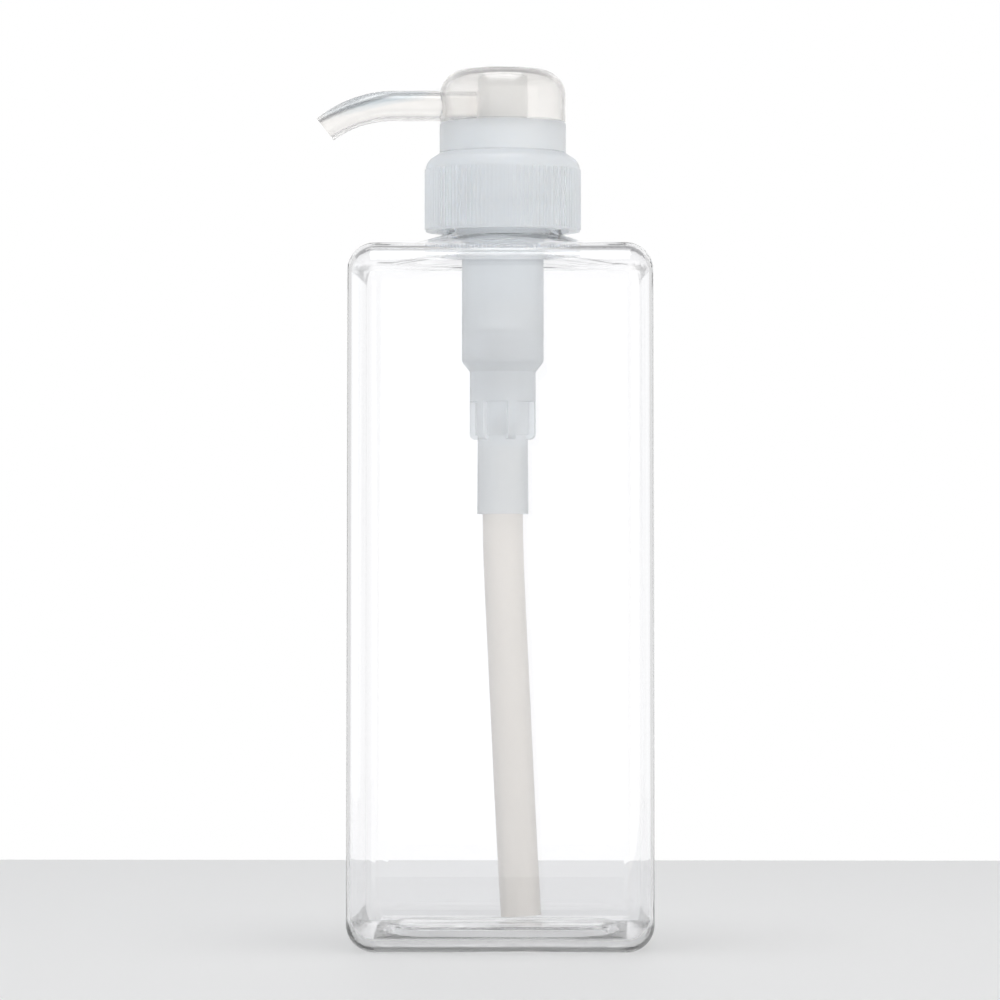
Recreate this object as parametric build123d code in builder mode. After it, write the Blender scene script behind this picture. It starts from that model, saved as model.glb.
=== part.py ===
"""A clear, square refill bottle with a ribbed screw cap and a lock-down lotion pump.

Millimetres. +Z is up, the bottle stands on Z = 0 and its centre line is the Z axis, which is
also the axis of the neck, the cap and the pump. The nozzle points along -X. The pump is held
down, as it is shipped: the head sits on the lock collar and the return spring is short.
"""
import os
from math import asin, cos, radians, sin, tan

from build123d import *

os.makedirs("parts", exist_ok=True)

# ---------------------------------------------------------------- driving dimensions
foot_width = 64.7  # square body, across the flats at its foot
body_draft = 0.11  # degrees, the sides lean in towards the shoulder
body_corner = 6.5  # upright edges, in plan
shoulder_z = 148.6
shoulder_edge = 5.8
foot_edge = 5.9
side_wall = 0.75
shoulder_wall = 1.2
floor_z = 1.9  # top of the floor over the standing ring

recess_width = 47.0  # raised panel under the foot
recess_corner = 9.0
recess_depth = 2.6
recess_taper = 32.0  # degrees, the slope of its sides
panel_wall = 1.7

neck_r = 12.5
neck_bore_r = 10.8
neck_top_z = 165.4
neck_root_round = 1.5
neck_bore_flare = 2.5
shoulder_slope_r = 24.0  # the shoulder rises towards the neck inside this radius
shoulder_slope = 0.27  # mm up for each mm in

thread_pitch = 4.23  # six turns to the inch
thread_height = 1.2
bottle_thread_z = 156.4
cap_thread_lag = 1.75  # the cap's thread sits this far under the bottle's

cap_bottom_z = 152.5
cap_corner_z = 167.4
cap_top_z = 169.3
cap_r = 16.5
cap_bore_r = 14.2
cap_rib_count = 120
cap_rib_height = 0.25
cap_rib_top_z = 165.7
cap_hole_r = 10.3

gasket_height = 1.0
flange_height = 1.2
running_gap = 0.1
small_gap = 0.2

barrel_r = 8.75
barrel_bore_r = 7.6
barrel_bottom_z = 124.6
step_r = 7.05
step_bore_r = 5.9
step_top_z = 122.4
fin_top_z = 116.0
fin_bottom_z = 107.9
fin_thickness = 1.8
fin_count = 6
fin_foot_round = 1.3
fin_turn = 18.0  # degrees, first fin's turn from the front towards +X
socket_r = 5.35
socket_bottom_z = 92.0

tube_r = 4.32
tube_bore_r = 3.4
tube_end_z = 6.1
tube_lean = 3.9  # how far the tube's lower end stands off the axis, towards +X
tube_bow = ((0, 0), (0.28, 0.21), (0.6, 0.54), (1, 1))  # shares of the drop and of the lean
tube_end_swing = 1.3  # the lower end's slope, as a share of the mean slope

collar_r = 13.55
collar_top_z = 175.9
collar_sleeve_z = 156.0

head_r = 13.5
head_top_z = 187.8
head_wall = 0.95
hub_r = 5.35
nozzle_z = 179.55
nozzle_root_r = 3.25
nozzle_tip_r = 2.95
nozzle_wall = 0.95
nozzle_bend_r = 23.6
nozzle_bend_x = -23.6
nozzle_droop = 38.0  # degrees
nozzle_pinch = 0.35  # the bore narrows by this much, from above, half way round the bend
nozzle_sections = 5

stem_r = 4.0
stem_bore_r = 2.6
stem_bottom_z = 131.0
stem_top_z = 176.5

spring_seat_z = 117.2
spring_wire = 0.9
spring_r = 4.7
spring_turns = 8

ball_r = 2.5

recess_round = 0.8
floor_round = 1.2
lip_round = 0.4
thread_turns = 1.0
thread_base = 2.0  # width of the ridge at the neck's wall
thread_crest = 1.0
thread_bite = 0.2  # how far a ridge is sunk in its wall
cap_thread_share = 0.8  # the cap's thread is this much slimmer
cap_corner_round = 3.0
cap_rib_width = 0.42
cap_rib_foot = 0.5
flange_r = 13.2
housing_neck_r = 9.9
housing_top_z = 173.0
neck_taper_z = 149.5  # the housing widens above this, inside the bottle's neck
neck_taper_height = 2.0
barrel_foot_round = 1.5
sleeve_r = 8.6  # the collar's sleeve, inside the housing
sleeve_bore_r = 7.6
guide_height = 2.0
collar_wall = 1.0
collar_rim_round = 0.4
lock_plate_z = 174.6
well_r = 6.2
lug_reach_r = 7.0
lug_width = 4.0
lug_height = 2.8
hub_bottom_z = 171.5
crown_drop = 1.5
dome_round = 5.6
cage_outer_r = 5.9
cage_foot = 1.0
socket_spread = 0.15
cage_r = 3.2
inlet_r = 1.6
tube_stop_z = 106.4
seat_z = 109.2
nub_r = 1.9
nub_height = 1.0
nub_width = 1.0
vent_z = 153.0
vent_r = 0.6
stem_stop_z = 138.8
stem_stop_r = 5.2
stem_stop_height = 1.3
port_width = 2.0
port_height = 2.2
piston_z = 131.15
piston_bore_r = 4.06
piston_wall = 0.95
piston_height = 6.15
web_bottom = 2.4  # the web that joins the piston's lips to its sleeve, up from the piston's foot
web_height = 1.2
lip_r = 7.55
lip_wall = 0.65
lip_root = 1.0
lip_hollow = 0.2  # the lips touch the barrel only at their ends
lip_bottom = 0.2
lip_top = 5.8
disc_r = 6.4
disc_height = 1.4
spigot_r = 3.3
spigot_length = 5.0
spigot_round = 0.8
shank_r = 2.54
shank_blade = 0.9
shank_length = 10.0
ball_gap = 0.05
hair = 0.1  # overlap between shapes that are joined

# ---------------------------------------------------------------- worked-out heights
gasket_top_z = neck_top_z + gasket_height
flange_top_z = gasket_top_z + flange_height
cap_plate_z = flange_top_z + running_gap
collar_bottom_z = cap_top_z + small_gap
head_bottom_z = collar_top_z + small_gap


# ---------------------------------------------------------------- helpers
def finish_part(block, label):
    """Name a finished sub-part and write its STEP file."""
    block.part.label = label
    export_step(block.part, f"parts/{label}.step")


def body_prism(bottom_z, top_z, inset, bottom_edge, top_edge):
    """The soft-sided square body, or the hollow inside it when `inset` is a wall."""
    width = foot_width - 2 * inset - 2 * bottom_z * tan(radians(body_draft))
    with BuildPart() as prism:
        with BuildSketch(Plane.XY.offset(bottom_z)):
            RectangleRounded(width, width, body_corner - inset)
        extrude(amount=top_z - bottom_z, taper=body_draft)
        fillet(prism.faces().sort_by(Axis.Z)[0].edges(), bottom_edge)
        fillet(prism.faces().sort_by(Axis.Z)[-1].edges(), top_edge)
    return prism.part


def screw_ridge(root_r, depth, start_z, base, crest):
    """One turn of screw thread standing `depth` off a wall; a negative depth points inwards."""
    with BuildPart() as ridge:
        with BuildLine() as path:
            Helix(thread_pitch, thread_pitch * thread_turns, root_r, center=(0, 0, start_z))
        start = Plane(origin=path.line @ 0, x_dir=(1, 0, 0), z_dir=path.line % 0)
        bite = -thread_bite if depth > 0 else thread_bite
        with BuildSketch(start):
            with BuildLine():
                Polyline(
                    (bite, -base / 2),
                    (depth, -crest / 2),
                    (depth, crest / 2),
                    (bite, base / 2),
                    close=True,
                )
            make_face()
        sweep(path=path.line, is_frenet=True)
    return ridge.part


def shoulder_cone(inset, inner_r):
    """The shoulder's low cone under the neck, or the hollow in it when `inset` is a wall."""
    foot_z = shoulder_z - inset
    with BuildPart() as cone:
        with BuildSketch(Plane.XZ):
            with BuildLine():
                Polyline(
                    (0, foot_z - hair),
                    (shoulder_slope_r, foot_z - hair),
                    (shoulder_slope_r, foot_z),
                    (inner_r, foot_z + shoulder_slope * (shoulder_slope_r - inner_r)),
                    (0, foot_z + shoulder_slope * (shoulder_slope_r - inner_r)),
                    close=True,
                )
            make_face()
        revolve(axis=Axis.Z)
    return cone.part


def edges_at(block, height):
    """The edges of a block that lie flat at a height."""
    return block.edges().filter_by_position(Axis.Z, height - hair / 2, height + hair / 2)


def circles_at(block, height):
    """The circular edges of a block that lie flat at a height, the smallest first."""
    return edges_at(block, height).filter_by(GeomType.CIRCLE).sort_by(SortBy.RADIUS)


# ---------------------------------------------------------------- bottle
bottle_body = body_prism(0, shoulder_z, 0, foot_edge, shoulder_edge)
bottle_hollow = body_prism(
    floor_z,
    shoulder_z - shoulder_wall,
    side_wall,
    foot_edge - side_wall,
    shoulder_edge - side_wall,
)
bottle_cone = shoulder_cone(0, neck_r)
bottle_cone_hollow = shoulder_cone(shoulder_wall, neck_bore_r)
bottle_ridge = screw_ridge(neck_r, thread_height, bottle_thread_z, thread_base, thread_crest)
raised_floor_z = recess_depth + panel_wall
neck_root_z = shoulder_z + shoulder_slope * (shoulder_slope_r - neck_r)
bore_root_z = shoulder_z - shoulder_wall + shoulder_slope * (shoulder_slope_r - neck_bore_r)

with BuildPart() as bottle:
    add(bottle_body)
    # shoulder rising to the neck
    add(bottle_cone)
    with BuildSketch(Plane.XY.offset(shoulder_z)):
        Circle(neck_r)
    extrude(amount=neck_top_z - shoulder_z)
    fillet(circles_at(bottle, neck_root_z)[-1], neck_root_round)
    # hollow, with the floor raised over the foot's recess
    add(bottle_hollow, mode=Mode.SUBTRACT)
    add(bottle_cone_hollow, mode=Mode.SUBTRACT)
    with BuildSketch(Plane.XY.offset(floor_z - hair)):
        RectangleRounded(recess_width + 2 * panel_wall, recess_width + 2 * panel_wall, recess_corner)
    extrude(amount=raised_floor_z - floor_z + hair, taper=recess_taper)
    fillet(edges_at(bottle, raised_floor_z), floor_round)
    with BuildSketch():
        RectangleRounded(recess_width, recess_width, recess_corner)
    extrude(amount=recess_depth, taper=recess_taper, mode=Mode.SUBTRACT)
    fillet(edges_at(bottle, recess_depth), recess_round)
    # neck bore, flared into the hollow
    with BuildSketch(Plane.XY.offset(neck_top_z)):
        Circle(neck_bore_r)
    extrude(amount=bore_root_z - neck_top_z, mode=Mode.SUBTRACT)
    fillet(circles_at(bottle, bore_root_z)[0], neck_bore_flare)
    fillet(circles_at(bottle, neck_top_z), lip_round)
    add(bottle_ridge)
finish_part(bottle, "bottle")

# ---------------------------------------------------------------- screw cap
cap_ridge = screw_ridge(
    cap_bore_r,
    -thread_height,
    bottle_thread_z - cap_thread_lag,
    thread_base * cap_thread_share,
    thread_crest * cap_thread_share,
)

with BuildPart() as closure:
    with BuildSketch(Plane.XZ):
        with BuildLine():
            Polyline(
                (cap_bore_r, cap_bottom_z),
                (cap_r, cap_bottom_z),
                (cap_r, cap_corner_z),
                (collar_r, cap_top_z),
                (cap_hole_r, cap_top_z),
                (cap_hole_r, cap_plate_z),
                (cap_bore_r, cap_plate_z),
                close=True,
            )
        make_face()
    revolve(axis=Axis.Z)
    fillet(circles_at(closure, cap_corner_z)[-1], cap_corner_round)
    # fine grip ribs all round
    with BuildSketch(Plane.XY.offset(cap_bottom_z + cap_rib_foot)):
        with PolarLocations(cap_r, cap_rib_count):
            Rectangle(2 * cap_rib_height, cap_rib_width)
        Circle((cap_r + cap_bore_r) / 2, mode=Mode.SUBTRACT)
    extrude(amount=cap_rib_top_z - cap_bottom_z - cap_rib_foot)
    add(cap_ridge)
finish_part(closure, "closure")

# ---------------------------------------------------------------- lock collar
with BuildPart() as lock_collar:
    with BuildSketch(Plane.XZ):
        with BuildLine():
            Polyline(
                (collar_r, collar_bottom_z),
                (collar_r, collar_top_z),
                (well_r, collar_top_z),
                (well_r, lock_plate_z),
                (sleeve_bore_r, lock_plate_z),
                (sleeve_bore_r, collar_sleeve_z + guide_height),
                (stem_r + running_gap, collar_sleeve_z + guide_height),
                (stem_r + running_gap, collar_sleeve_z),
                (sleeve_r, collar_sleeve_z),
                (sleeve_r, housing_top_z + small_gap),
                (housing_neck_r, housing_top_z + small_gap),
                (housing_neck_r, collar_bottom_z),
                (housing_neck_r + collar_wall, collar_bottom_z),
                (housing_neck_r + collar_wall, lock_plate_z),
                (collar_r - collar_wall, lock_plate_z),
                (collar_r - collar_wall, collar_bottom_z),
                close=True,
            )
        make_face()
    revolve(axis=Axis.Z)
    fillet(circles_at(lock_collar, collar_top_z)[-1], collar_rim_round)
    # two slots let the head's lugs through the lock plate
    with BuildSketch(Plane.XY.offset(lock_plate_z)):
        Rectangle(2 * (lug_reach_r + 2 * small_gap), lug_width + 4 * small_gap)
        Circle(well_r / 2, mode=Mode.SUBTRACT)
    extrude(amount=collar_top_z - lock_plate_z, mode=Mode.SUBTRACT)
finish_part(lock_collar, "lock_collar")

# ---------------------------------------------------------------- pump housing
with BuildPart() as housing:
    with BuildSketch(Plane.XZ):
        with BuildLine():
            Polyline(
                (sleeve_r, housing_top_z),
                (housing_neck_r, housing_top_z),
                (housing_neck_r, flange_top_z),
                (flange_r, flange_top_z),
                (flange_r, gasket_top_z),
                (housing_neck_r, gasket_top_z),
                (housing_neck_r, neck_taper_z + neck_taper_height),
                (barrel_r, neck_taper_z),
                (barrel_r, barrel_bottom_z),
                (step_r, step_top_z),
                (step_r, fin_top_z),
                (cage_outer_r, fin_top_z),
                (cage_outer_r, fin_bottom_z + cage_foot),
                (socket_r, fin_bottom_z + cage_foot),
                (socket_r + socket_spread, socket_bottom_z),
                (tube_r, socket_bottom_z),
                (tube_r, tube_stop_z),
                (inlet_r, tube_stop_z),
                (inlet_r, seat_z),
                (cage_r, seat_z + cage_r - inlet_r),
                (cage_r, spring_seat_z),
                (step_bore_r, spring_seat_z),
                (step_bore_r, barrel_bottom_z),
                (barrel_bore_r, barrel_bottom_z + barrel_bore_r - step_bore_r),
                (barrel_bore_r, collar_sleeve_z - small_gap),
                (sleeve_r, collar_sleeve_z - small_gap),
                close=True,
            )
        make_face()
    revolve(axis=Axis.Z)
    fillet(circles_at(housing, barrel_bottom_z)[-1], barrel_foot_round)
    # fins round the lower step, each with a rounded foot
    for number in range(fin_count):
        turn = radians(fin_turn - 90 + number * 360 / fin_count)
        fin_plane = Plane(
            origin=(0, 0, 0),
            x_dir=(cos(turn), sin(turn), 0),
            z_dir=(sin(turn), -cos(turn), 0),
        )
        with BuildSketch(fin_plane) as fin:
            with BuildLine():
                Polyline(
                    (tube_r + hair, fin_bottom_z),
                    (step_r, fin_bottom_z),
                    (step_r, fin_top_z + hair),
                    (tube_r + hair, fin_top_z + hair),
                    close=True,
                )
            make_face()
            fin_foot = fin.vertices().sort_by_distance((step_r, fin_bottom_z, 0))[0]
            fillet(fin_foot, fin_foot_round)
        extrude(amount=fin_thickness / 2, both=True)
    # nubs that keep the ball in its cage
    with BuildSketch(Plane.XY.offset(spring_seat_z - nub_height)):
        with PolarLocations((nub_r + cage_r + hair) / 2, 4):
            Rectangle(cage_r - nub_r + hair, nub_width)
    extrude(amount=nub_height)
    # vent that lets air into the bottle
    with BuildSketch(Plane.XZ.offset(-2 * barrel_r)):
        with Locations((0, vent_z)):
            Circle(vent_r)
    extrude(amount=1.5 * barrel_r, mode=Mode.SUBTRACT)
finish_part(housing, "housing")

# ---------------------------------------------------------------- neck gasket
with BuildPart() as neck_gasket:
    with BuildSketch(Plane.XY.offset(neck_top_z)):
        Circle(flange_r)
        Circle(housing_neck_r, mode=Mode.SUBTRACT)
    extrude(amount=gasket_height)
finish_part(neck_gasket, "neck_gasket")

# ---------------------------------------------------------------- dip tube
tube_drop = socket_bottom_z - tube_end_z

with BuildPart() as dip_tube:
    with BuildLine() as tube_path:
        Line((0, 0, tube_stop_z), (0, 0, socket_bottom_z))
        Spline(
            *[
                (tube_lean * lean, 0, socket_bottom_z - tube_drop * drop)
                for drop, lean in tube_bow
            ],
            tangents=((0, 0, -1), (tube_lean / tube_drop * tube_end_swing, 0, -1)),
        )
    with BuildSketch(Plane.XY.offset(tube_stop_z)):
        Circle(tube_r)
        Circle(tube_bore_r, mode=Mode.SUBTRACT)
    sweep(path=tube_path.wire())
finish_part(dip_tube, "dip_tube")

# ---------------------------------------------------------------- head with its nozzle
bend_sweep = radians(nozzle_droop)


def nozzle_plane(share):
    """A plane across the nozzle's drooping end, `share` of the way round its bend."""
    angle = share * bend_sweep
    return Plane(
        origin=(
            nozzle_bend_x - nozzle_bend_r * sin(angle),
            0,
            nozzle_z - nozzle_bend_r * (1 - cos(angle)),
        ),
        x_dir=(0, 1, 0),
        z_dir=(-cos(angle), 0, -sin(angle)),
    )


def nozzle_rod(inset, pinch):
    """The nozzle as a solid rod, or its bore when `inset` is the wall.

    A bore is pinched from above in the bend, so its bottom keeps the same wall.
    """
    root = nozzle_root_r - inset
    tip = nozzle_tip_r - inset
    with BuildPart() as rod:
        with BuildSketch(Plane.YZ):
            with Locations((0, nozzle_z)):
                Circle(root)
        extrude(amount=nozzle_bend_x)
        for section in range(nozzle_sections):
            share = section / (nozzle_sections - 1)
            squeeze = pinch * sin(radians(180 * share))
            with BuildSketch(nozzle_plane(share)):
                with Locations((0, squeeze)):
                    Circle(root + (tip - root) * share**1.5 - squeeze)
        loft()
    return rod.part


def dome_blank(inset):
    """The domed cap as a solid, or the hollow inside it when `inset` is the wall."""
    radius = head_r - inset
    crown_z = head_top_z - inset
    edge_z = crown_z - crown_drop
    # the crown is part of a large sphere centred on the axis
    crown_r = (radius**2 + crown_drop**2) / (2 * crown_drop)
    half_angle = asin(radius / crown_r) / 2
    crown_middle = (crown_r * sin(half_angle), crown_z - crown_r * (1 - cos(half_angle)))
    with BuildPart() as blank:
        with BuildSketch(Plane.XZ) as profile:
            with BuildLine():
                Polyline((0, crown_z), (0, head_bottom_z), (radius, head_bottom_z), (radius, edge_z))
                ThreePointArc((radius, edge_z), crown_middle, (0, crown_z))
            make_face()
            rim = profile.vertices().sort_by_distance((radius, edge_z, 0))[0]
            fillet(rim, dome_round - inset)
        revolve(axis=Axis.Z)
    return blank.part


dome_outside = dome_blank(0)
dome_hollow = dome_blank(head_wall)
nozzle_outside = nozzle_rod(0, 0)
nozzle_bore = nozzle_rod(nozzle_wall, nozzle_pinch)

with BuildPart() as head:
    add(dome_outside)
    add(dome_hollow, mode=Mode.SUBTRACT)
    # hub for the stem, with two lock lugs at its foot
    with BuildSketch(Plane.XY.offset(hub_bottom_z)):
        Circle(hub_r)
    extrude(amount=head_top_z - head_wall / 2 - hub_bottom_z)
    with BuildSketch(Plane.XY.offset(hub_bottom_z)):
        Rectangle(2 * lug_reach_r, lug_width)
    extrude(amount=lug_height)
    # nozzle and the soap's way through it
    add(nozzle_outside)
    add(nozzle_bore, mode=Mode.SUBTRACT)
    with BuildSketch(Plane.XY.offset(hub_bottom_z)):
        Circle(stem_r)
    extrude(amount=stem_top_z - hub_bottom_z, mode=Mode.SUBTRACT)
    with BuildSketch(Plane.XY.offset(stem_top_z)):
        Circle(stem_bore_r)
    extrude(amount=nozzle_z - stem_top_z, mode=Mode.SUBTRACT)
finish_part(head, "head")

# ---------------------------------------------------------------- stem
with BuildPart() as stem:
    with BuildSketch(Plane.XY.offset(stem_bottom_z)):
        Circle(stem_r)
    extrude(amount=stem_top_z - stem_bottom_z)
    with BuildSketch(Plane.XY.offset(stem_stop_z)):
        Circle(stem_stop_r)
    extrude(amount=stem_stop_height)
    with BuildSketch(Plane.XY.offset(stem_bottom_z)):
        Circle(stem_bore_r)
    extrude(amount=stem_top_z - stem_bottom_z, mode=Mode.SUBTRACT)
    # ports that the piston covers and opens
    with BuildSketch(Plane.XY.offset(stem_bottom_z)):
        Rectangle(4 * stem_r, port_width)
        Rectangle(port_width, 4 * stem_r)
    extrude(amount=port_height, mode=Mode.SUBTRACT)
finish_part(stem, "stem")

# ---------------------------------------------------------------- piston
with BuildPart() as piston:
    with BuildSketch(Plane.XZ):
        with BuildLine():
            Polyline(
                (piston_bore_r, piston_z),
                (piston_bore_r + piston_wall, piston_z),
                (piston_bore_r + piston_wall, piston_z + web_bottom),
                (lip_r - lip_root, piston_z + web_bottom),
                (lip_r - lip_wall, piston_z + 2 * lip_bottom),
                (lip_r, piston_z + lip_bottom),
                (lip_r - lip_hollow, piston_z + web_bottom + web_height / 2),
                (lip_r, piston_z + lip_top),
                (lip_r - lip_wall, piston_z + lip_top - lip_bottom),
                (lip_r - lip_root, piston_z + web_bottom + web_height),
                (piston_bore_r + piston_wall, piston_z + web_bottom + web_height),
                (piston_bore_r + piston_wall, piston_z + piston_height),
                (piston_bore_r, piston_z + piston_height),
                close=True,
            )
        make_face()
    revolve(axis=Axis.Z)
finish_part(piston, "piston")

# ---------------------------------------------------------------- valve rod
with BuildPart() as valve_rod:
    with BuildSketch(Plane.XY.offset(stem_bottom_z - disc_height)):
        Circle(disc_r)
    extrude(amount=disc_height)
    with BuildSketch(Plane.XY.offset(stem_bottom_z - disc_height)):
        Circle(spigot_r)
    extrude(amount=-spigot_length)
    fillet(valve_rod.edges().group_by(Axis.Z)[0], spigot_round)
    # cross-shaped shank pressed in the stem's bore
    with BuildSketch(Plane.XY.offset(stem_bottom_z)):
        Rectangle(2 * shank_r, shank_blade)
        Rectangle(shank_blade, 2 * shank_r)
    extrude(amount=shank_length)
finish_part(valve_rod, "valve_rod")

# ---------------------------------------------------------------- return spring
spring_top_z = stem_bottom_z - disc_height
spring_rise = spring_top_z - spring_seat_z - spring_wire - running_gap

with BuildPart() as return_spring:
    with BuildLine() as coil:
        Helix(
            spring_rise / spring_turns,
            spring_rise,
            spring_r,
            center=(0, 0, spring_seat_z + (spring_wire + running_gap) / 2),
        )
    with BuildSketch(Plane(origin=coil.line @ 0, z_dir=coil.line % 0)):
        Circle(spring_wire / 2)
    sweep(path=coil.line, is_frenet=True)
finish_part(return_spring, "return_spring")

# ---------------------------------------------------------------- inlet ball
# the ball rests a hair above a 45 degree seat
ball_z = seat_z - inlet_r + (ball_r + ball_gap) / sin(radians(45))

with BuildPart() as inlet_ball:
    with Locations((0, 0, ball_z)):
        Sphere(ball_r)
finish_part(inlet_ball, "inlet_ball")
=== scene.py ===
"""Looks of the soap pump dispenser: clear bottle, milky pump and cap, warm clear head."""

import logging
import math
from dataclasses import dataclass, field, replace
from enum import Enum
from typing import Iterable

import bpy
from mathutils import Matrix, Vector


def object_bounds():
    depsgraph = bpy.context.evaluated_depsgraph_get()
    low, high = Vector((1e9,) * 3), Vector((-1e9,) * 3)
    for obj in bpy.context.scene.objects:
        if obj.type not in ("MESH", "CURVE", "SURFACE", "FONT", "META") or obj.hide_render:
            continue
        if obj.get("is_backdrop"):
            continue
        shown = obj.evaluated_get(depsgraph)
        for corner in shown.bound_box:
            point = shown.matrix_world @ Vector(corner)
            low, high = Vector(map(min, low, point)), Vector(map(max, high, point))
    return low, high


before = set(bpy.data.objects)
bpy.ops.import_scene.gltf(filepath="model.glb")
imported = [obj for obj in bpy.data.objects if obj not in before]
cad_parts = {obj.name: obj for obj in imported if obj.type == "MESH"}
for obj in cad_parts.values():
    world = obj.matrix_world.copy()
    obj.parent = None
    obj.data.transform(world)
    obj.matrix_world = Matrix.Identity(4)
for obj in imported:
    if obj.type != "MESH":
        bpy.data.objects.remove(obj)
CAD_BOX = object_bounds()
LOG = logging.getLogger("soap_pump")

Colour = tuple[float, float, float]
Triple = tuple[float, float, float]


class Clarity(Enum):
    """How much light a plastic lets through it, as its transmission weight."""

    CLEAR = 1.0
    HAZY = 0.9
    MILKY = 0.66
    CLOUDY = 0.5
    OPAQUE = 0.0


class Side(Enum):
    """The sides that a soft white panel stands on, as turns from the back in degrees."""

    BACK = 0
    BACK_RIGHT = 45
    RIGHT = 90
    FRONT_RIGHT = 135
    FRONT = 180
    FRONT_LEFT = 225
    LEFT = 270
    BACK_LEFT = 315


NOISE_MIDDLE = 0.5

# Over what distance each mark on the bottle and the head fades in, in metres.
NECK_FADE = 1 / 120
SHOULDER_FADE = 1 / 400
FOOT_FADE = 1 / 900
RING_FADE = 1 / 500
CORE_FADE = 1 / 4000
CROWN_FADE = 1 / 2000
# The painted reflection stripe along the nozzle's top fades in over this.
PAINTED_REFLECTION_FADE = 1 / 2500
ROOT_FADE = 1 / 300

# How the patterns are stretched on each axis, and how fine they are.
FOLD_STRETCH = (0.5, 1.5, 1.0)
FOLD_SCALE = 55.0
FOLD_STIR = 1.2
WALL_STRETCH = (1.0, 1.0, 0.45)
WALL_SCALE = 22.0
LINE_STRETCH = (1.0, 1.0, 0.03)


def box_of(node: str) -> tuple[Vector, Vector]:
    """Measure one piece of the frame.

    Args:
        node: The piece's name in the frame.

    Returns:
        The lowest and the highest corner of its box, in metres.
    """
    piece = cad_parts[node]
    corners = [piece.matrix_world @ Vector(corner) for corner in piece.bound_box]
    low = Vector([min(corner[axis] for corner in corners) for axis in range(3)])
    high = Vector([max(corner[axis] for corner in corners) for axis in range(3)])
    return low, high


# ------------------------------------------------------------------ shader tools


def new_group(
    name: str,
    inputs: Iterable[tuple],
    outputs: Iterable[tuple],
) -> bpy.types.ShaderNodeTree:
    """Start an empty shader node group with named sockets.

    Args:
        name: The group's name.
        inputs: (name, socket type, default) of each input.
        outputs: (name, socket type) of each output.

    Returns:
        The node group, holding a Group Input and a Group Output node.
    """
    group = bpy.data.node_groups.new(name, "ShaderNodeTree")
    for title, kind, default in inputs:
        socket = group.interface.new_socket(title, in_out="INPUT", socket_type=kind)
        socket.default_value = default
    for title, kind in outputs:
        group.interface.new_socket(title, in_out="OUTPUT", socket_type=kind)
    group.nodes.new("NodeGroupInput")
    group.nodes.new("NodeGroupOutput")
    return group


def maths(
    tree: bpy.types.NodeTree,
    kind: str,
    *values: object,
    clamp: bool = False,
) -> bpy.types.NodeSocket:
    """Add a Math node.

    Args:
        tree: The tree that takes the node.
        kind: The Math operation's name.
        values: Sockets or numbers for its inputs.
        clamp: Whether the result is kept between 0 and 1.

    Returns:
        The node's output.
    """
    node = tree.nodes.new("ShaderNodeMath")
    node.operation = kind
    node.use_clamp = clamp
    for slot, value in zip(node.inputs, values):
        if isinstance(value, bpy.types.NodeSocket):
            tree.links.new(value, slot)
        else:
            slot.default_value = value
    return node.outputs[0]


def noise_at(
    tree: bpy.types.NodeTree,
    place: bpy.types.NodeSocket,
    scale: object,
    detail: float,
    distortion: float = 0.0,
) -> bpy.types.NodeSocket:
    """Add a noise texture read at a place.

    Args:
        tree: The tree that takes the node.
        place: The vector to read it at.
        scale: Its scale, as a socket or a number.
        detail: Its octaves.
        distortion: How far it is stirred.

    Returns:
        The noise value's output.
    """
    node = tree.nodes.new("ShaderNodeTexNoise")
    tree.links.new(place, node.inputs["Vector"])
    if isinstance(scale, bpy.types.NodeSocket):
        tree.links.new(scale, node.inputs["Scale"])
    else:
        node.inputs["Scale"].default_value = scale
    node.inputs["Detail"].default_value = detail
    node.inputs["Distortion"].default_value = distortion
    return node.outputs["Fac"]


def stretched(
    tree: bpy.types.NodeTree,
    place: bpy.types.NodeSocket,
    by: Triple,
) -> bpy.types.NodeSocket:
    """Scale a place axis by axis, so that a pattern read there is stretched.

    Args:
        tree: The tree that takes the node.
        place: The vector to scale.
        by: The scale on each axis.

    Returns:
        The scaled vector's output.
    """
    node = tree.nodes.new("ShaderNodeVectorMath")
    node.operation = "MULTIPLY"
    tree.links.new(place, node.inputs[0])
    node.inputs[1].default_value = by
    return node.outputs[0]


def fade(
    tree: bpy.types.NodeTree,
    start: object,
    value: object,
    width: float,
) -> bpy.types.NodeSocket:
    """Make a mask that rises from 0 to 1 as a value falls below a start.

    Args:
        tree: The tree that takes the nodes.
        start: Where the mask is still 0.
        value: The value that is compared.
        width: How far below the start it is 1, in metres.

    Returns:
        The mask's socket.
    """
    below = maths(tree, "SUBTRACT", start, value)
    return maths(tree, "MULTIPLY", below, 1.0 / width, clamp=True)


def axis_distance(tree: bpy.types.NodeTree, axes: bpy.types.Node) -> bpy.types.NodeSocket:
    """Measure how far a place is from the upright axis.

    Args:
        tree: The tree that takes the nodes.
        axes: The node that splits the place into X, Y and Z.

    Returns:
        The distance's socket.
    """
    across = maths(tree, "POWER", axes.outputs["X"], 2.0)
    away = maths(tree, "POWER", axes.outputs["Y"], 2.0)
    return maths(tree, "SQRT", maths(tree, "ADD", across, away))


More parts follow.
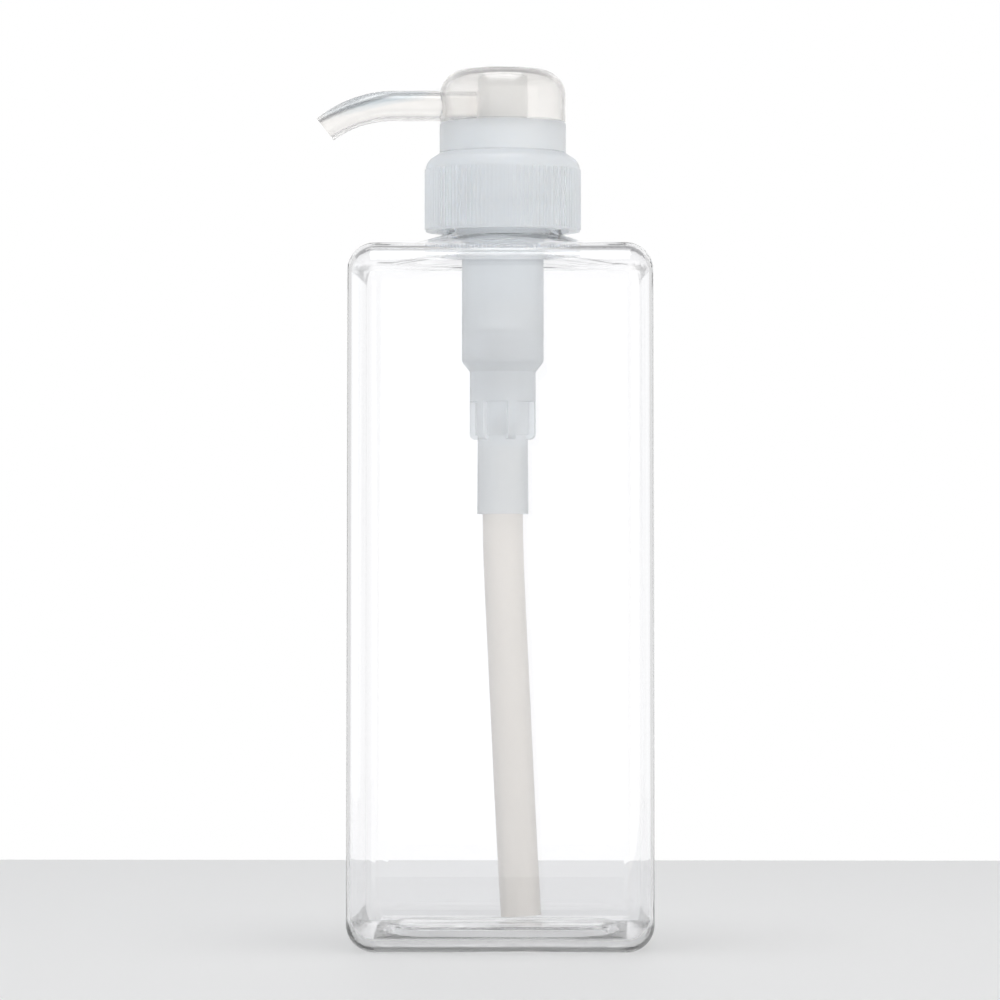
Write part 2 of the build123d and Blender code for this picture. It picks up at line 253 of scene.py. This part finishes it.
def moulded_surface_group() -> bpy.types.ShaderNodeTree:
    """Build the group that gives moulded plastic its faint haze and ripple.

    Returns:
        A group with Roughness and Height outputs.
    """
    group = new_group(
        "moulded_surface",
        [
            ("Roughness", "NodeSocketFloat", 0.2),
            ("Haze", "NodeSocketFloat", 0.05),
            ("Ripple scale", "NodeSocketFloat", 60.0),
            ("Grain scale", "NodeSocketFloat", 900.0),
            ("Grain share", "NodeSocketFloat", 0.15),
        ],
        [("Roughness", "NodeSocketFloat"), ("Height", "NodeSocketFloat")],
    )
    given, result = group.nodes["Group Input"], group.nodes["Group Output"]
    place = group.nodes.new("ShaderNodeTexCoord").outputs["Object"]
    ripple = noise_at(group, place, given.outputs["Ripple scale"], 2.0)
    grain = noise_at(group, place, given.outputs["Grain scale"], 3.0)
    swing = maths(group, "SUBTRACT", ripple, NOISE_MIDDLE)
    haze = maths(group, "MULTIPLY", swing, given.outputs["Haze"])
    rough = maths(group, "ADD", given.outputs["Roughness"], haze, clamp=True)
    fine = maths(group, "MULTIPLY", grain, given.outputs["Grain share"])
    group.links.new(rough, result.inputs["Roughness"])
    group.links.new(maths(group, "ADD", ripple, fine), result.inputs["Height"])
    return group


def flow_marks_group() -> bpy.types.ShaderNodeTree:
    """Build the group for the uneven wall of a blown bottle: folds by its neck and under its floor.

    Returns:
        A group with one Height output.
    """
    group = new_group(
        "flow_marks",
        [
            ("Shoulder height", "NodeSocketFloat", 0.14),
            ("Foot height", "NodeSocketFloat", 0.005),
            ("Fold reach", "NodeSocketFloat", 0.028),
            ("Foot reach", "NodeSocketFloat", 0.0265),
            ("Shoulder folds", "NodeSocketFloat", 1.0),
            ("Foot folds", "NodeSocketFloat", 1.0),
            ("Wall ripple", "NodeSocketFloat", 0.05),
        ],
        [("Height", "NodeSocketFloat")],
    )
    given, result = group.nodes["Group Input"], group.nodes["Group Output"]
    place = group.nodes.new("ShaderNodeTexCoord").outputs["Object"]
    axes = group.nodes.new("ShaderNodeSeparateXYZ")
    group.links.new(place, axes.inputs[0])
    up = axes.outputs["Z"]
    within = fade(group, given.outputs["Fold reach"], axis_distance(group, axes), NECK_FADE)
    near_neck = fade(group, up, given.outputs["Shoulder height"], SHOULDER_FADE)
    near_neck = maths(group, "MULTIPLY", near_neck, given.outputs["Shoulder folds"])
    near_neck = maths(group, "MULTIPLY", near_neck, within)
    wide = maths(group, "ABSOLUTE", axes.outputs["X"])
    deep = maths(group, "ABSOLUTE", axes.outputs["Y"])
    farther = maths(group, "MAXIMUM", wide, deep)
    in_ring = fade(group, given.outputs["Foot reach"], farther, RING_FADE)
    near_foot = fade(group, given.outputs["Foot height"], up, FOOT_FADE)
    near_foot = maths(group, "MULTIPLY", near_foot, given.outputs["Foot folds"])
    near_foot = maths(group, "MULTIPLY", near_foot, in_ring)
    thick = maths(group, "ADD", near_neck, near_foot)
    folds = noise_at(group, stretched(group, place, FOLD_STRETCH), FOLD_SCALE, 0.5, FOLD_STIR)
    fold_height = maths(group, "MULTIPLY", folds, thick)
    wall = noise_at(group, stretched(group, place, WALL_STRETCH), WALL_SCALE, 0.5)
    wall_height = maths(group, "MULTIPLY", wall, given.outputs["Wall ripple"])
    group.links.new(maths(group, "ADD", fold_height, wall_height), result.inputs["Height"])
    return group


def tone_drift_group() -> bpy.types.ShaderNodeTree:
    """Build the group that lets a colour drift a little over a piece.

    Returns:
        A group with one Colour output.
    """
    group = new_group(
        "tone_drift",
        [
            ("Colour", "NodeSocketColor", (0.8, 0.8, 0.8, 1.0)),
            ("Deeper colour", "NodeSocketColor", (0.7, 0.7, 0.7, 1.0)),
            ("Scale", "NodeSocketFloat", 40.0),
        ],
        [("Colour", "NodeSocketColor")],
    )
    given, result = group.nodes["Group Input"], group.nodes["Group Output"]
    place = group.nodes.new("ShaderNodeTexCoord").outputs["Object"]
    cloud = noise_at(group, place, given.outputs["Scale"], 2.0)
    mix = group.nodes.new("ShaderNodeMix")
    mix.data_type = "RGBA"
    group.links.new(cloud, mix.inputs["Factor"])
    group.links.new(given.outputs["Colour"], mix.inputs["A"])
    group.links.new(given.outputs["Deeper colour"], mix.inputs["B"])
    group.links.new(mix.outputs["Result"], result.inputs["Colour"])
    return group


def drawn_lines_group() -> bpy.types.ShaderNodeTree:
    """Build the group for fine lengthwise lines on extruded tube and drawn wire.

    Returns:
        A group with Roughness and Height outputs.
    """
    group = new_group(
        "drawn_lines",
        [
            ("Roughness", "NodeSocketFloat", 0.3),
            ("Line contrast", "NodeSocketFloat", 0.1),
            ("Scale", "NodeSocketFloat", 700.0),
        ],
        [("Roughness", "NodeSocketFloat"), ("Height", "NodeSocketFloat")],
    )
    given, result = group.nodes["Group Input"], group.nodes["Group Output"]
    place = group.nodes.new("ShaderNodeTexCoord").outputs["Object"]
    lines = noise_at(group, stretched(group, place, LINE_STRETCH), given.outputs["Scale"], 2.0)
    swing = maths(group, "SUBTRACT", lines, NOISE_MIDDLE)
    contrast = maths(group, "MULTIPLY", swing, given.outputs["Line contrast"])
    rough = maths(group, "ADD", given.outputs["Roughness"], contrast, clamp=True)
    group.links.new(rough, result.inputs["Roughness"])
    group.links.new(lines, result.inputs["Height"])
    return group


def head_masks_group() -> bpy.types.ShaderNodeTree:
    """Build the group that finds the head's solid middle and a stripe along its nozzle's top, where a
    reflection is painted.

    Returns:
        A group with a Core output and an output for the painted reflection stripe, each 0 to 1.
    """
    group = new_group(
        "head_masks",
        [
            ("Core radius", "NodeSocketFloat", 0.006),
            ("Core top", "NodeSocketFloat", 0.186),
            ("Root x", "NodeSocketFloat", -0.0135),
            ("Root z", "NodeSocketFloat", 0.18),
            ("Rise", "NodeSocketFloat", 0.19),
        ],
        [("Core", "NodeSocketFloat"), ("Painted reflection", "NodeSocketFloat")],
    )
    given, result = group.nodes["Group Input"], group.nodes["Group Output"]
    place = group.nodes.new("ShaderNodeTexCoord").outputs["Object"]
    axes = group.nodes.new("ShaderNodeSeparateXYZ")
    group.links.new(place, axes.inputs[0])
    inside = fade(group, given.outputs["Core radius"], axis_distance(group, axes), CORE_FADE)
    under = fade(group, given.outputs["Core top"], axes.outputs["Z"], CROWN_FADE)
    group.links.new(maths(group, "MULTIPLY", inside, under), result.inputs["Core"])
    # Painted reflection: a stripe above a line rising from the nozzle's root, standing in for the dark
    # surroundings that the nozzle's top reflects.
    out = maths(group, "SUBTRACT", axes.outputs["X"], given.outputs["Root x"])
    lift = maths(group, "MULTIPLY", out, given.outputs["Rise"])
    line = maths(group, "ADD", given.outputs["Root z"], lift)
    above = fade(group, axes.outputs["Z"], line, PAINTED_REFLECTION_FADE)
    beyond = maths(group, "MULTIPLY", out, -1.0 / ROOT_FADE, clamp=True)
    group.links.new(maths(group, "MULTIPLY", above, beyond), result.inputs["Painted reflection"])
    return group


@dataclass
class ShaderKit:
    """The node groups that the finishes share."""

    moulded: bpy.types.ShaderNodeTree = field(default_factory=moulded_surface_group)
    flow: bpy.types.ShaderNodeTree = field(default_factory=flow_marks_group)
    tone: bpy.types.ShaderNodeTree = field(default_factory=tone_drift_group)
    lines: bpy.types.ShaderNodeTree = field(default_factory=drawn_lines_group)
    head: bpy.types.ShaderNodeTree = field(default_factory=head_masks_group)


def place_group(
    tree: bpy.types.NodeTree,
    group: bpy.types.ShaderNodeTree,
    **values: object,
) -> bpy.types.Node:
    """Put a node group in a material.

    Args:
        tree: The material's node tree.
        group: The group to place.
        values: Input values, with spaces in their names written as underscores.

    Returns:
        The group node.
    """
    node = tree.nodes.new("ShaderNodeGroup")
    node.node_tree = group
    for title, value in values.items():
        node.inputs[title.replace("_", " ")].default_value = value
    return node


def mixed(
    tree: bpy.types.NodeTree,
    share: bpy.types.NodeSocket,
    first: bpy.types.NodeSocket,
    second: Colour,
) -> bpy.types.NodeSocket:
    """Mix a fixed colour into a varying one.

    Args:
        tree: The material's node tree.
        share: How much of the fixed colour shows, 0 to 1.
        first: The varying colour.
        second: The fixed colour.

    Returns:
        The mixed colour's socket.
    """
    node = tree.nodes.new("ShaderNodeMix")
    node.data_type = "RGBA"
    tree.links.new(share, node.inputs["Factor"])
    tree.links.new(first, node.inputs["A"])
    node.inputs["B"].default_value = (*second, 1.0)
    return node.outputs["Result"]


def bump(tree: bpy.types.NodeTree, height: bpy.types.NodeSocket, depth: float) -> bpy.types.NodeSocket:
    """Turn a height into a normal.

    Args:
        tree: The material's node tree.
        height: The height socket.
        depth: How deep the height reaches, in metres.

    Returns:
        The bumped normal's socket.
    """
    node = tree.nodes.new("ShaderNodeBump")
    node.inputs["Distance"].default_value = depth
    tree.links.new(height, node.inputs["Height"])
    return node.outputs["Normal"]


# ------------------------------------------------------------------ finishes


@dataclass(frozen=True)
class Plastic:
    """A moulded or extruded plastic, from clear to opaque."""

    name: str
    colour: Colour
    deeper: Colour
    clarity: Clarity
    roughness: float
    index: float = 1.5
    haze: float = 0.04
    ripple_scale: float = 60.0
    ripple_depth: float = 0.00004
    grain_share: float = 0.12
    scatter: float = 0.0
    scatter_reach: float = 0.002
    scatter_share: Colour = (1.0, 0.95, 0.9)
    cloud_scale: float = 35.0
    lets_lamps_through: float = 0.8

    def base(self, kit: ShaderKit) -> tuple[bpy.types.Material, bpy.types.Node]:
        """Make the material and its main shader.

        Args:
            kit: The shared node groups.

        Returns:
            The material and its Principled node.
        """
        material = bpy.data.materials.new(self.name)
        material.use_nodes = True
        tree = material.node_tree
        shader = tree.nodes["Principled BSDF"]
        shader.inputs["IOR"].default_value = self.index
        shader.inputs["Metallic"].default_value = 0.0
        shader.inputs["Transmission Weight"].default_value = self.clarity.value
        if self.scatter > 0:
            shader.inputs["Subsurface Weight"].default_value = self.scatter
            shader.inputs["Subsurface Radius"].default_value = self.scatter_share
            shader.inputs["Subsurface Scale"].default_value = self.scatter_reach
        tone = place_group(
            tree,
            kit.tone,
            Colour=(*self.colour, 1.0),
            Deeper_colour=(*self.deeper, 1.0),
            Scale=self.cloud_scale,
        )
        tree.links.new(tone.outputs["Colour"], shader.inputs["Base Color"])
        if self.clarity is not Clarity.OPAQUE:
            self.let_lamps_through(tree, shader)
        return material, shader

    def let_lamps_through(self, tree: bpy.types.NodeTree, shader: bpy.types.Node) -> None:
        """Give the piece a soft shadow in place of a solid one.

        Args:
            tree: The material's node tree.
            shader: Its main shader.
        """
        path = tree.nodes.new("ShaderNodeLightPath")
        clear = tree.nodes.new("ShaderNodeBsdfTransparent")
        share = self.lets_lamps_through
        clear.inputs["Color"].default_value = (share, share, share, 1.0)
        mix = tree.nodes.new("ShaderNodeMixShader")
        tree.links.new(path.outputs["Is Shadow Ray"], mix.inputs["Fac"])
        tree.links.new(shader.outputs["BSDF"], mix.inputs[1])
        tree.links.new(clear.outputs["BSDF"], mix.inputs[2])
        tree.links.new(mix.outputs[0], tree.nodes["Material Output"].inputs["Surface"])

    def material(self, kit: ShaderKit) -> bpy.types.Material:
        """Make the whole material.

        Args:
            kit: The shared node groups.

        Returns:
            The finished material.
        """
        material, shader = self.base(kit)
        tree = material.node_tree
        surface = place_group(
            tree,
            kit.moulded,
            Roughness=self.roughness,
            Haze=self.haze,
            Ripple_scale=self.ripple_scale,
            Grain_share=self.grain_share,
        )
        tree.links.new(surface.outputs["Roughness"], shader.inputs["Roughness"])
        tree.links.new(bump(tree, surface.outputs["Height"], self.ripple_depth), shader.inputs["Normal"])
        return material


@dataclass(frozen=True)
class BlownBottlePlastic(Plastic):
    """The clear wall of the blown bottle, folded where it is thick."""

    fold_depth: float = 0.0006
    shoulder_height: float = 0.1
    foot_height: float = 0.005
    fold_reach: float = 0.03
    foot_reach: float = 0.03
    foot_folds: float = 2.2
    wall_ripple: float = 0.02

    def material(self, kit: ShaderKit) -> bpy.types.Material:
        """Make the whole material.

        Args:
            kit: The shared node groups.

        Returns:
            The finished material.
        """
        material, shader = self.base(kit)
        tree = material.node_tree
        shader.inputs["Roughness"].default_value = self.roughness
        marks = place_group(
            tree,
            kit.flow,
            Shoulder_height=self.shoulder_height,
            Foot_height=self.foot_height,
            Fold_reach=self.fold_reach,
            Foot_reach=self.foot_reach,
            Foot_folds=self.foot_folds,
            Wall_ripple=self.wall_ripple,
        )
        tree.links.new(bump(tree, marks.outputs["Height"], self.fold_depth), shader.inputs["Normal"])
        return material


@dataclass(frozen=True)
class ExtrudedPlastic(Plastic):
    """Plastic tube with fine lines along it."""

    line_contrast: float = 0.08
    line_scale: float = 420.0

    def material(self, kit: ShaderKit) -> bpy.types.Material:
        """Make the whole material.

        Args:
            kit: The shared node groups.

        Returns:
            The finished material.
        """
        material, shader = self.base(kit)
        tree = material.node_tree
        surface = place_group(
            tree,
            kit.lines,
            Roughness=self.roughness,
            Line_contrast=self.line_contrast,
            Scale=self.line_scale,
        )
        tree.links.new(surface.outputs["Roughness"], shader.inputs["Roughness"])
        tree.links.new(bump(tree, surface.outputs["Height"], self.ripple_depth), shader.inputs["Normal"])
        return material


@dataclass(frozen=True)
class HeadPlastic(Plastic):
    """The head's clear plastic, greyer in its solid middle, with a painted reflection: a grey-blue
    stripe along the nozzle's top.
    """

    core_colour: Colour = (0.80, 0.80, 0.795)
    core_roughness: float = 0.75
    # Grey-blue of the painted reflection stripe along the nozzle's top.
    painted_reflection_colour: Colour = (0.80, 0.835, 0.855)
    core_radius: float = 0.006
    core_top: float = 0.2
    root_x: float = -0.01
    root_z: float = 0.2
    rise: float = 0.186

    def material(self, kit: ShaderKit) -> bpy.types.Material:
        """Make the whole material.

        Args:
            kit: The shared node groups.

        Returns:
            The finished material.
        """
        material = super().material(kit)
        tree = material.node_tree
        shader = tree.nodes["Principled BSDF"]
        masks = place_group(
            tree,
            kit.head,
            Core_radius=self.core_radius,
            Core_top=self.core_top,
            Root_x=self.root_x,
            Root_z=self.root_z,
            Rise=self.rise,
        )
        tone = shader.inputs["Base Color"].links[0].from_socket
        # Paint the reflection stripe along the nozzle's top into the base colour.
        with_painted_reflection = mixed(tree, masks.outputs["Painted reflection"], tone, self.painted_reflection_colour)
        cored = mixed(tree, masks.outputs["Core"], with_painted_reflection, self.core_colour)
        tree.links.new(cored, shader.inputs["Base Color"])
        smooth = shader.inputs["Roughness"].links[0].from_socket
        extra = self.core_roughness - self.roughness
        rougher = maths(tree, "MULTIPLY_ADD", masks.outputs["Core"], extra, smooth)
        tree.links.new(rougher, shader.inputs["Roughness"])
        return material


@dataclass(frozen=True)
class Steel:
    """Stainless steel, as drawn wire or a polished ball."""

    name: str
    colour: Colour
    deeper: Colour
    roughness: float
    line_contrast: float
    line_depth: float = 0.00001
    cloud_scale: float = 300.0

    def material(self, kit: ShaderKit) -> bpy.types.Material:
        """Make the whole material.

        Args:
            kit: The shared node groups.

        Returns:
            The finished material.
        """
        material = bpy.data.materials.new(self.name)
        material.use_nodes = True
        tree = material.node_tree
        shader = tree.nodes["Principled BSDF"]
        shader.inputs["Metallic"].default_value = 1.0
        tone = place_group(
            tree,
            kit.tone,
            Colour=(*self.colour, 1.0),
            Deeper_colour=(*self.deeper, 1.0),
            Scale=self.cloud_scale,
        )
        tree.links.new(tone.outputs["Colour"], shader.inputs["Base Color"])
        surface = place_group(
            tree,
            kit.lines,
            Roughness=self.roughness,
            Line_contrast=self.line_contrast,
        )
        tree.links.new(surface.outputs["Roughness"], shader.inputs["Roughness"])
        tree.links.new(bump(tree, surface.outputs["Height"], self.line_depth), shader.inputs["Normal"])
        return material


CLEAR_BOTTLE = BlownBottlePlastic(
    "clear_bottle",
    colour=(0.996, 0.996, 1.0),
    deeper=(0.992, 0.993, 1.0),
    clarity=Clarity.CLEAR,
    roughness=0.0,
    index=1.575,
    lets_lamps_through=0.9,
)
NATURAL_CAP = Plastic(
    "natural_cap",
    colour=(0.855, 0.880, 0.905),
    deeper=(0.840, 0.866, 0.892),
    clarity=Clarity.CLOUDY,
    roughness=0.42,
    scatter=0.8,
    scatter_reach=0.0016,
    lets_lamps_through=0.9,
)
CLEARER_COLLAR = Plastic(
    "clearer_collar",
    colour=(0.875, 0.892, 0.907),
    deeper=(0.862, 0.880, 0.896),
    clarity=Clarity.MILKY,
    roughness=0.34,
    scatter=0.5,
    scatter_reach=0.0012,
    lets_lamps_through=0.9,
)
NATURAL_PUMP = Plastic(
    "natural_pump",
    colour=(0.838, 0.864, 0.884),
    deeper=(0.822, 0.849, 0.870),
    clarity=Clarity.MILKY,
    roughness=0.5,
    lets_lamps_through=0.9,
)
WARM_HEAD = HeadPlastic(
    "warm_head",
    colour=(0.958, 0.948, 0.936),
    deeper=(0.946, 0.937, 0.926),
    clarity=Clarity.HAZY,
    roughness=0.1,
    lets_lamps_through=0.8,
)
WARM_TUBE = ExtrudedPlastic(
    "warm_tube",
    colour=(0.955, 0.933, 0.906),
    deeper=(0.945, 0.923, 0.896),
    clarity=Clarity.CLOUDY,
    roughness=0.36,
    lets_lamps_through=0.7,
)
WHITE_SEAL = Plastic(
    "white_seal",
    colour=(0.84, 0.84, 0.83),
    deeper=(0.80, 0.80, 0.79),
    clarity=Clarity.OPAQUE,
    roughness=0.45,
)
GASKET_FOAM = Plastic(
    "gasket_foam",
    colour=(0.86, 0.86, 0.85),
    deeper=(0.78, 0.78, 0.77),
    clarity=Clarity.OPAQUE,
    roughness=0.85,
    ripple_scale=700.0,
    grain_share=0.6,
)
SPRING_STEEL = Steel("spring_steel", (0.66, 0.66, 0.67), (0.58, 0.58, 0.59), 0.24, 0.14)
BALL_STEEL = Steel("ball_steel", (0.70, 0.70, 0.71), (0.66, 0.66, 0.67), 0.08, 0.02)


# ------------------------------------------------------------------ the object's own pieces


def dress(node: str, material: bpy.types.Material) -> None:
    """Give one finish to a piece, in place of what it was packed with.

    Args:
        node: The piece's name in the frame.
        material: The finish.
    """
    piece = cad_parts[node]
    piece.data.materials.clear()
    piece.data.materials.append(material)
    LOG.info("%s dressed in %s", node, material.name)


@dataclass
class Bottle:
    """The clear square bottle and the foam ring on its lip."""

    kit: ShaderKit
    wall: BlownBottlePlastic = CLEAR_BOTTLE
    gasket: Plastic = GASKET_FOAM
    shoulder_drop: float = 0.0060
    foot_drop: float = 0.0004
    fold_share: float = 0.87
    foot_share: float = 0.82

    def marked_wall(self) -> BlownBottlePlastic:
        """Place the folds by the neck and under the floor.

        Returns:
            The wall's finish, with its folds measured from the bottle, the cap and the tube.
        """
        _, wall_high = box_of("bottle")
        cap_low, _ = box_of("closure")
        tube_low, _ = box_of("dip_tube")
        return replace(
            self.wall,
            shoulder_height=cap_low.z - self.shoulder_drop,
            foot_height=tube_low.z - self.foot_drop,
            fold_reach=wall_high.x * self.fold_share,
            foot_reach=wall_high.x * self.foot_share,
        )

    def build(self) -> None:
        """Dress the bottle and its gasket."""
        dress("bottle", self.marked_wall().material(self.kit))
        dress("neck_gasket", self.gasket.material(self.kit))


@dataclass
class ScrewCap:
    """The ribbed cap and the lock collar that stands on it."""

    kit: ShaderKit
    cap: Plastic = NATURAL_CAP
    collar: Plastic = CLEARER_COLLAR

    def build(self) -> None:
        """Dress the cap, and the collar, whose thinner wall is the clearer."""
        dress("closure", self.cap.material(self.kit))
        dress("lock_collar", self.collar.material(self.kit))


@dataclass
class PumpCore:
    """What hangs in the bottle: the housing, the tube and the valve parts."""

    kit: ShaderKit
    body: Plastic = NATURAL_PUMP
    tube: ExtrudedPlastic = WARM_TUBE
    seal: Plastic = WHITE_SEAL
    wire: Steel = SPRING_STEEL
    ball: Steel = BALL_STEEL

    def build(self) -> None:
        """Dress each piece of the pump."""
        body = self.body.material(self.kit)
        for node in ("housing", "stem", "valve_rod"):
            dress(node, body)
        dress("dip_tube", self.tube.material(self.kit))
        dress("piston", self.seal.material(self.kit))
        dress("return_spring", self.wire.material(self.kit))
        dress("inlet_ball", self.ball.material(self.kit))


@dataclass
class PushHead:
    """The domed head with its long nozzle."""

    kit: ShaderKit
    finish: HeadPlastic = WARM_HEAD
    hub_wall: float = 0.0007
    crown: float = 0.0014
    nozzle_drop: float = 0.0059
    root_share: float = 1.045

    def marked_head(self) -> HeadPlastic:
        """Place the solid middle and the painted reflection stripe along the nozzle's top.

        Returns:
            The head's finish, with its marks measured from the head and the stem.
        """
        _, head_high = box_of("head")
        _, stem_high = box_of("stem")
        return replace(
            self.finish,
            core_radius=stem_high.x + self.hub_wall,
            core_top=head_high.z - self.crown,
            root_x=-head_high.x * self.root_share,
            root_z=head_high.z - self.nozzle_drop,
        )

    def build(self) -> None:
        """Dress the head."""
        dress("head", self.marked_head().material(self.kit))


# ------------------------------------------------------------------ stage, light and camera


@dataclass(frozen=True)
class PanelLight:
    """How strongly one white panel shines, and its slight tint."""

    strength: float
    tint: Colour = (1.0, 1.0, 1.0)


WARM_TINT = (1.0, 0.975, 0.945)
COOL_TINT = (0.945, 0.975, 1.0)
PANELS = {
    Side.BACK: PanelLight(1.0),
    Side.BACK_RIGHT: PanelLight(0.75),
    Side.RIGHT: PanelLight(0.9),
    Side.FRONT_RIGHT: PanelLight(1.5, WARM_TINT),
    Side.FRONT: PanelLight(1.25),
    Side.FRONT_LEFT: PanelLight(0.8),
    Side.LEFT: PanelLight(1.2, COOL_TINT),
    Side.BACK_LEFT: PanelLight(0.75),
}


@dataclass
class Studio:
    """A pale table top, a ring of white panels round it and a soft lamp."""

    table_width: float = 1.75
    table_depth: float = 0.7
    table_thickness: float = 0.02
    panel_distance: float = 1.7
    panel_width: float = 1.5
    panel_height: float = 2.2
    panel_middle: float = 0.1
    room_light: float = 0.6
    roof_light: float = 0.2
    under_light: Colour = (0.05, 0.055, 0.16)
    table_colour: Colour = (0.87, 0.875, 0.875)
    under_edge: float = 0.44
    room_band: tuple[float, float] = (0.5, 0.6)
    roof_blue: float = 1.06
    lamp_place: Triple = (0.0, -0.2, 1.4)
    lamp_size: float = 0.9
    lamp_power: float = 8.0
    wall_crossings: int = 48

    def plain(self, name: str, colour: Colour, glow: float = 0.0) -> bpy.types.Material:
        """Make a plain material for the stage.

        Args:
            name: The material's name.
            colour: Its colour.
            glow: How strongly it shines by itself.

        Returns:
            The material.
        """
        material = bpy.data.materials.new(name)
        material.use_nodes = True
        shader = material.node_tree.nodes["Principled BSDF"]
        shader.inputs["Base Color"].default_value = (*colour, 1.0)
        shader.inputs["Roughness"].default_value = 0.6
        if glow > 0:
            shader.inputs["Base Color"].default_value = (0.0, 0.0, 0.0, 1.0)
            shader.inputs["Specular IOR Level"].default_value = 0.0
            shader.inputs["Emission Color"].default_value = (*colour, 1.0)
            shader.inputs["Emission Strength"].default_value = glow
        return material

    def table(self) -> None:
        """Lay the pale table top under the bottle."""
        low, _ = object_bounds()
        bpy.ops.mesh.primitive_cube_add(size=1.0)
        top = bpy.context.object
        top.name = "table_top"
        top.scale = (self.table_width, self.table_depth, self.table_thickness)
        top.location = (0.0, 0.0, low[2] - self.table_thickness / 2)
        top.data.materials.append(self.plain("pale_table", self.table_colour))
        top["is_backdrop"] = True

    def panel(self, side: Side) -> None:
        """Stand one white panel on a side of the object.

        Args:
            side: The side it stands on.
        """
        turn = math.radians(side.value)
        bpy.ops.mesh.primitive_plane_add(size=1.0)
        panel = bpy.context.object
        panel.name = f"white_panel_{side.name.lower()}"
        panel.scale = (self.panel_width, self.panel_height, 1.0)
        panel.rotation_euler = (math.radians(90), 0.0, -turn)
        panel.location = (
            self.panel_distance * math.sin(turn),
            self.panel_distance * math.cos(turn),
            self.panel_middle,
        )
        glow = PANELS[side]
        panel.data.materials.append(self.plain(panel.name, glow.tint, glow.strength))
        panel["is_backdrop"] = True

    def room(self) -> None:
        """Fill the room with soft light from above, and a dim blue-grey from under the table."""
        world = bpy.data.worlds.new("soft_room")
        bpy.context.scene.world = world
        world.use_nodes = True
        tree = world.node_tree
        axes = tree.nodes.new("ShaderNodeSeparateXYZ")
        tree.links.new(tree.nodes.new("ShaderNodeTexCoord").outputs["Generated"], axes.inputs[0])
        ramp = tree.nodes.new("ShaderNodeValToRGB")
        height = maths(tree, "MULTIPLY_ADD", axes.outputs["Z"], 0.5, 0.5, clamp=True)
        tree.links.new(height, ramp.inputs["Fac"])
        level, roof = self.room_light, self.roof_light
        ramp.color_ramp.elements[0].position = self.under_edge
        ramp.color_ramp.elements[0].color = (*self.under_light, 1.0)
        ramp.color_ramp.elements[1].position = 1.0
        ramp.color_ramp.elements[1].color = (roof, roof, roof * self.roof_blue, 1.0)
        for place in self.room_band:
            band = ramp.color_ramp.elements.new(place)
            band.color = (level, level, level, 1.0)
        tree.links.new(ramp.outputs["Color"], tree.nodes["Background"].inputs["Color"])

    def lamp(self) -> None:
        """Hang a soft square lamp, aimed at the object's middle."""
        light = bpy.data.lights.new("soft_top", "AREA")
        light.size = self.lamp_size
        light.energy = self.lamp_power
        holder = bpy.data.objects.new("soft_top", light)
        holder.location = self.lamp_place
        aim = Vector((0.0, 0.0, self.panel_middle)) - Vector(self.lamp_place)
        holder.rotation_euler = aim.to_track_quat("-Z", "Y").to_euler()
        bpy.context.collection.objects.link(holder)

    def let_light_cross_many_walls(self) -> None:
        """Let light pass the many clear walls that stand one inside another."""
        paths = bpy.context.scene.cycles
        paths.max_bounces = self.wall_crossings
        paths.transmission_bounces = self.wall_crossings
        paths.transparent_max_bounces = self.wall_crossings
        paths.glossy_bounces = self.wall_crossings // 2

    def build(self) -> None:
        """Set up the table, the panels, the room and the lamp."""
        self.table()
        for side in Side:
            self.panel(side)
        self.room()
        self.lamp()
        bpy.context.scene.view_settings.view_transform = "Standard"
        self.let_light_cross_many_walls()
        LOG.info("studio ready")


@dataclass
class Camera:
    """The view of the object: nearly square on, a little under the head.

    The distance, the eye's height and the aim are all in heights of the object.
    """

    distance: float = 6.1235
    eye_height: float = 0.409
    turn: float = 1.2
    sensor_width: float = 36.0
    lens_to_frame: float = 5.369
    aim_x: float = -0.0032
    aim_z: float = 0.5059
    sight: float = 20.0

    def build(self) -> None:
        """Make the camera and set it as the scene's own."""
        data = bpy.data.cameras.new("view")
        data.sensor_width = self.sensor_width
        data.lens = data.sensor_width * self.lens_to_frame
        data.clip_end = self.sight
        camera = bpy.data.objects.new("view", data)
        turn = math.radians(self.turn)
        height = CAD_BOX[1][2] - CAD_BOX[0][2]
        away = self.distance * height
        place = Vector((away * math.sin(turn), -away * math.cos(turn), self.eye_height * height))
        aim = Vector((self.aim_x, 0.0, self.aim_z)) * height - place
        camera.location = place
        camera.rotation_euler = aim.to_track_quat("-Z", "Y").to_euler()
        bpy.context.collection.objects.link(camera)
        bpy.context.scene.camera = camera


def main() -> None:
    """Build the object's looks and the studio round it."""
    logging.basicConfig(level=logging.INFO, format="%(message)s")
    kit = ShaderKit()
    for part in (Bottle(kit), ScrewCap(kit), PumpCore(kit), PushHead(kit)):
        part.build()
        LOG.info("%s done", type(part).__name__)
    Studio().build()
    Camera().build()


if __name__ == "__main__":
    main()
